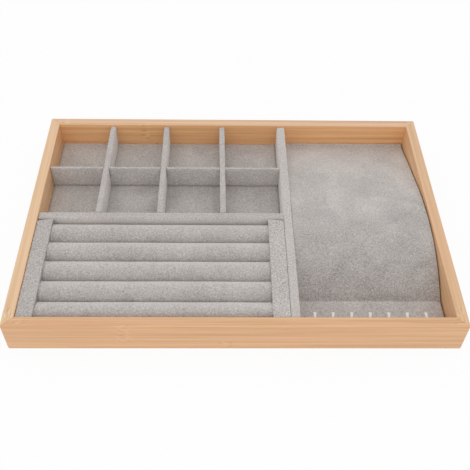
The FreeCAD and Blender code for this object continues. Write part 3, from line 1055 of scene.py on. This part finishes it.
def roll_half_section(half, bottom, crest, inset):
    """(across, height) points from the tucked edge under a roll to its crest."""
    spring = crest - ROLL_RISE
    shoulder_middle = half - ROLL_SHOULDER
    above = ROLL_RISE - ROLL_SHOULDER
    drop = (shoulder_middle**2 - above**2) / (2 * above)
    lean = math.atan2(drop, shoulder_middle)
    foot = ROLL_FOOT - inset / 2
    side = half - inset
    floor = bottom + inset
    tucked = spread_through([half - ROLL_TUCK, side - foot], ROLL_SIDE_STEP)
    points = [(across, floor) for across in tucked]
    turn = quarter_turn()[1:]
    points += [(side - foot + foot * math.sin(t), floor + foot * (1 - math.cos(t))) for t in turn]
    upright = spread_through([floor + foot, spring], ROLL_SIDE_STEP)[1:-1]
    points += [(side, height) for height in upright]
    shoulder = ROLL_SHOULDER - inset
    for angle in spread_through([0.0, lean], ROLL_STEP / ROLL_SHOULDER):
        points.append((shoulder_middle + shoulder * math.cos(angle), spring + shoulder * math.sin(angle)))
    crown = ROLL_RISE + drop - inset
    for angle in spread_through([lean, math.pi / 2], ROLL_STEP / crown)[1:]:
        points.append((crown * math.cos(angle), spring - drop + crown * math.sin(angle)))
    return points


print("roll shoulder, mm:", ROLL_SHOULDER, "rise, mm:", ROLL_RISE)

# %% [markdown]
# The velvet and the foam of a roll come from the same section, the foam's one cloth thickness further in.
# The velvet is an open sheet with a slit underneath, and the foam is closed there.
# The ends are nearly flat, because the bars stand close to them.

# %% Ring rolls
ROLL_COUNT = 5
ROLL_END = 0.12
ROLL_SWELL = 0.15
ROLL_HOLLOWS = 0.33
ROLL_HOLLOW_SIZE = 24.0
FOAM_END_GAP = 1.0


def roll_mesh(name, low, high, inset, end_gap, material):
    """One roll, lofted from end to end; the cloth's has a slit underneath and the foam's is closed."""
    half = (high.y - low.y) / 2
    one_side = roll_half_section(half, low.z, high.z, inset)
    section = one_side[:-1] + [(-across, height) for across, height in reversed(one_side)]
    stations = wrap_stations(low.x + end_gap, high.x - end_gap, ROLL_END)
    middle = (low.y + high.y) / 2
    points = loft_points(section, stations, X_AXIS, middle, low.z, high.z)
    width = len(section)
    faces = loft_faces(len(stations), width)
    if inset:
        for row in range(len(stations) - 1):
            first = row * width
            faces.append((first, first + width, first + 2 * width - 1, first + width - 1))
    faces += cap_faces(0, width) + cap_faces((len(stations) - 1) * width, width)
    return make_piece(name, points, faces, material)


def make_ring_roll(number):
    """Velvet and foam of one roll."""
    roll = f"ring_roll_{number}"
    low, high = box_in_mm(roll + "_cover")
    cloth_thickness = box_in_mm(roll + "_foam")[0].z - low.z
    foam = roll_mesh(roll + "_foam_core", low, high, cloth_thickness, FOAM_END_GAP, pale_foam)
    put_on(foam, "ring_insert", "foam", roll + "_foam")
    velvet = roll_mesh(roll + "_velvet", low, high, 0.0, -ROLL_SWELL, velvets["roll"])
    settle(velvet, ROLL_HOLLOWS, ROLL_HOLLOW_SIZE, seed=number)
    thicken(velvet, SOFT_CLOTH_SHOWN)
    put_on(velvet, "ring_insert", "velvet", roll + "_cover")


for number in range(1, ROLL_COUNT + 1):
    make_ring_roll(number)

# %% [markdown]
# Necklaces lie over a long low hump: a bent card over a foam block, with velvet over it and down both sides.
# Seen from the side, two arcs meet at the crest.
# The front one ends in a small hollow at the hooks, the back one in a straight slope that flattens out.
# The line could be traced point by point, but a few radii and a slope give a smoother one.

# %% Side line of the necklace ramp
RAMP_CREST_Y = -12.0
RAMP_FRONT_RADIUS = 131.0
RAMP_FOOT_RADIUS = 3.0
RAMP_BACK_RADIUS = 240.0
RAMP_BACK_SLOPE = math.radians(12.3)
RAMP_TOE_RADIUS = 60.0
ramp_low, ramp_high = box_in_mm("necklace_ramp_cover")
ramp_floor = box_in_mm("hook_strip_cover")[1].z


def front_height(before):
    """Height of the ramp's cloth at a distance in front of the crest."""
    both_radii = RAMP_FRONT_RADIUS + RAMP_FOOT_RADIUS
    foot_angle = math.acos(1 - (ramp_high.z - ramp_floor) / both_radii)
    if before < RAMP_FRONT_RADIUS * math.sin(foot_angle):
        return ramp_high.z - RAMP_FRONT_RADIUS + math.sqrt(RAMP_FRONT_RADIUS**2 - before**2)
    from_end = max(0.0, both_radii * math.sin(foot_angle) - before)
    return ramp_floor + RAMP_FOOT_RADIUS - math.sqrt(RAMP_FOOT_RADIUS**2 - from_end**2)


def ramp_height(y):
    """Height of the ramp's cloth at a place from front to back."""
    crest = ramp_high.z
    past = y - RAMP_CREST_Y
    if past < 0:
        return front_height(-past)
    slope_start = RAMP_BACK_RADIUS * math.sin(RAMP_BACK_SLOPE)
    if past < slope_start:
        return crest - RAMP_BACK_RADIUS + math.sqrt(RAMP_BACK_RADIUS**2 - past**2)
    slope_top = crest - RAMP_BACK_RADIUS * (1 - math.cos(RAMP_BACK_SLOPE))
    toe_top = ramp_floor + RAMP_TOE_RADIUS * (1 - math.cos(RAMP_BACK_SLOPE))
    toe_start = slope_start + (slope_top - toe_top) / math.tan(RAMP_BACK_SLOPE)
    flat_start = toe_start + RAMP_TOE_RADIUS * math.sin(RAMP_BACK_SLOPE)
    if past < toe_start:
        return slope_top - (past - slope_start) * math.tan(RAMP_BACK_SLOPE)
    if past < flat_start:
        return ramp_floor + RAMP_TOE_RADIUS - math.sqrt(RAMP_TOE_RADIUS**2 - (flat_start - past) ** 2)
    return ramp_floor


print("ramp crest, mm:", round(ramp_high.z, 1), "back end, mm:", round(ramp_height(ramp_high.y), 1))

# %% [markdown]
# Rows of points follow that line, close together in the hollow.
# The cloth sinks a little between its edges, as padding lets it.
# Its front edge is tucked down into the hook strip, so that no gap shows at the foot.

# %% Velvet over the ramp
RAMP_EDGE_RADIUS = 0.3
RAMP_STEP = 2.5
FOOT_LENGTH = 6.0
FOOT_STEP = 0.75
FOOT_TUCK = 0.3
RAMP_HOLLOWS = 0.3
RAMP_HOLLOW_SIZE = 22.0


def ramp_row(half, top, skirt_foot):
    """(across, height) points up one skirt, over the ramp and down the other skirt."""
    edge = half - RAMP_EDGE_RADIUS
    shoulder = top - RAMP_EDGE_RADIUS
    left = [(-half, skirt_foot + (shoulder - skirt_foot) * n / ARC_STEPS) for n in range(ARC_STEPS)]
    for t in quarter_turn():
        left.append((-edge - RAMP_EDGE_RADIUS * math.cos(t), shoulder + RAMP_EDGE_RADIUS * math.sin(t)))
    flat_top = [(across, top) for across in spread_through([-edge, edge], RAMP_STEP)[1:-1]]
    right = [(-across, height) for across, height in reversed(left)]
    return left + flat_top + right


def make_ramp_velvet():
    """Velvet over the ramp and down its two sides."""
    half = (ramp_high.x - ramp_low.x) / 2 + NAP_SWELL
    middle = (ramp_high.x + ramp_low.x) / 2
    foot_back = ramp_low.y + FOOT_LENGTH
    stations = spread_through([ramp_low.y, foot_back], FOOT_STEP)[:-1]
    stations += spread_through([foot_back, ramp_high.y], RAMP_STEP)
    points = []
    for y in stations:
        tuck = FOOT_TUCK if y == ramp_low.y else 0.0
        row = ramp_row(half, ramp_height(y) - tuck, ramp_low.z)
        points += [(middle + across, y, height) for across, height in row]
    width = len(points) // len(stations)
    faces = loft_faces(len(stations), width)
    piece = make_piece("necklace_ramp_velvet", points, faces, velvets["ramp"])
    settle(piece, RAMP_HOLLOWS, RAMP_HOLLOW_SIZE, seed=5)
    thicken(piece, SOFT_CLOTH_SHOWN)
    put_on(piece, "necklace_insert", "velvet", "necklace_ramp_cover")
    steps = zip(stations, stations[1:])
    length = sum(math.hypot(end - start, ramp_height(end) - ramp_height(start)) for start, end in steps)


make_ramp_velvet()

# %% [markdown]
# The foam block under the bent card has flat sides and the ramp's own line on top, so it is a loft as well.

# %% Foam under the ramp
FOAM_STEP = 5.0


def make_ramp_foam():
    """Foam block that holds the bent card up."""
    low, high = box_in_mm("necklace_ramp_foam")
    under_cloth = ramp_high.z - high.z
    points = []
    stations = spread_through([low.y, high.y], FOAM_STEP)
    for y in stations:
        top = ramp_height(y) - under_cloth
        corners = [(low.x, low.z), (low.x, top), (high.x, top), (high.x, low.z)]
        points += [(x, y, z) for x, z in [*corners, corners[0]]]
    width = len(points) // len(stations)
    last = (len(stations) - 1) * width
    faces = loft_faces(len(stations), width)
    faces += [(0, 1, 2, 3), (last, last + 1, last + 2, last + 3)]
    piece = make_piece("necklace_ramp_foam_block", points, faces, pale_foam)
    put_on(piece, "necklace_insert", "foam", "necklace_ramp_foam")
    print(piece.name, "stations:", len(stations))


make_ramp_foam()

# %% [markdown]
# In front of the ramp a narrow strip of velvet over card carries the hooks.
# The hooks come up through slots in the cloth, close to the rail, and the cloth dips a little round each one.
# Each hook is turned a little about its tip, so its slot stands to one side of the tip.
# The slots are holes in the grid: its lines pass through their edges, and the squares inside are left out.
# At the back the strip goes on under the ramp's cloth.

# %% Hook strip
HOOK_FIRST_X = 60.7
HOOK_PITCH = 14.3
HOOK_REACH = 7.0
HOOK_TURNS = (-1.0, -10.0, -9.0, -7.5, -4.5, -4.0, 2.5)
HOOK_COUNT = len(HOOK_TURNS)
HOOK_SLOT_HALF_WIDTH = 0.95
HOOK_SLOT_FRONT = -107.9
HOOK_SLOT_BACK = -106.4
PUCKER_DEPTH = 0.35
PUCKER_REACH = 3.0
STRIP_UNDER_RAMP = 2.5
STRIP_STEP = 1.2
STRIP_HOLLOWS = 0.15
STRIP_HOLLOW_SIZE = 14.0


def hook_slot_places():
    """Place of each hook's slot along the strip."""
    places = []
    for number, turn in enumerate(HOOK_TURNS):
        tip = HOOK_FIRST_X + number * HOOK_PITCH
        places.append(tip + HOOK_REACH * math.sin(math.radians(turn)))
    return places


def make_hook_strip():
    """Velvet strip with a slot for each hook."""
    low, high = box_in_mm("hook_strip_cover")
    back = ramp_low.y + STRIP_UNDER_RAMP
    slots = hook_slot_places()
    slot_middle = (HOOK_SLOT_FRONT + HOOK_SLOT_BACK) / 2
    keys = sorted(x + side for x in slots for side in (-HOOK_SLOT_HALF_WIDTH, HOOK_SLOT_HALF_WIDTH))
    columns = spread_through([low.x, *keys, high.x], STRIP_STEP)
    rows = spread_through([low.y, HOOK_SLOT_FRONT, HOOK_SLOT_BACK, back], STRIP_STEP)

    def dip(x, y):
        """How far the cloth dips beside the nearest slot."""
        nearest = min(math.hypot(x - slot, y - slot_middle) for slot in slots)
        return PUCKER_DEPTH * math.exp(-((nearest / PUCKER_REACH) ** 2))

    def outside_slots(row, column):
        """Whether a square of the cloth lies outside every slot."""
        x = (columns[column] + columns[column + 1]) / 2
        y = (rows[row] + rows[row + 1]) / 2
        beside = all(abs(x - slot) >= HOOK_SLOT_HALF_WIDTH for slot in slots)
        return beside or not HOOK_SLOT_FRONT < y < HOOK_SLOT_BACK

    points = [(x, y, high.z - dip(x, y)) for y in rows for x in columns]
    faces = loft_faces(len(rows), len(columns), outside_slots)
    piece = make_piece("hook_strip_velvet", points, faces, velvets["ramp"])
    settle(piece, STRIP_HOLLOWS, STRIP_HOLLOW_SIZE, seed=8)
    thicken(piece, SOFT_CLOTH_SHOWN)
    put_on(piece, "necklace_insert", "velvet", "hook_strip_cover")
    print(piece.name, "slots:", len(slots))


make_hook_strip()

# %% [markdown]
# The hooks are bent from flat metal strip and coated in satin white.
# Each arm points back and flares to its tip, and the packed solid has that shape, so it stays.
# An even white would look cut out, so faint lines along the strip change its gloss and its white.

# %% Hooks
COAT_CONSTANTS = {"Specular IOR Level": 0.3}
COAT_ROUGHNESS = 0.3
LINE_ROUGHNESS = 0.2
LINE_WIDTH = 0.12
LINE_STRETCH = 0.08


def make_hook_coat():
    """Satin white coat on strip."""
    material, sketch, shader = new_material("coated_strip", COAT_CONSTANTS)
    x, y, z = sketch.split(sketch.place())
    drawn = sketch.join(x, y, sketch.calc("MULTIPLY", z, LINE_STRETCH))
    lines = sketch.noise(drawn, LINE_WIDTH)
    white = sketch.mix(lines, colour(221, 218, 216), colour(239, 237, 235))
    gloss = sketch.calc("MULTIPLY_ADD", lines, LINE_ROUGHNESS, COAT_ROUGHNESS)
    sketch.tree.links.new(white, shader.inputs["Base Color"])
    sketch.tree.links.new(gloss, shader.inputs["Roughness"])
    return material


finish_nodes(make_hook_coat(), [f"necklace_hook_{number}" for number in range(1, HOOK_COUNT + 1)])

# %% [markdown] The tray is now dressed.
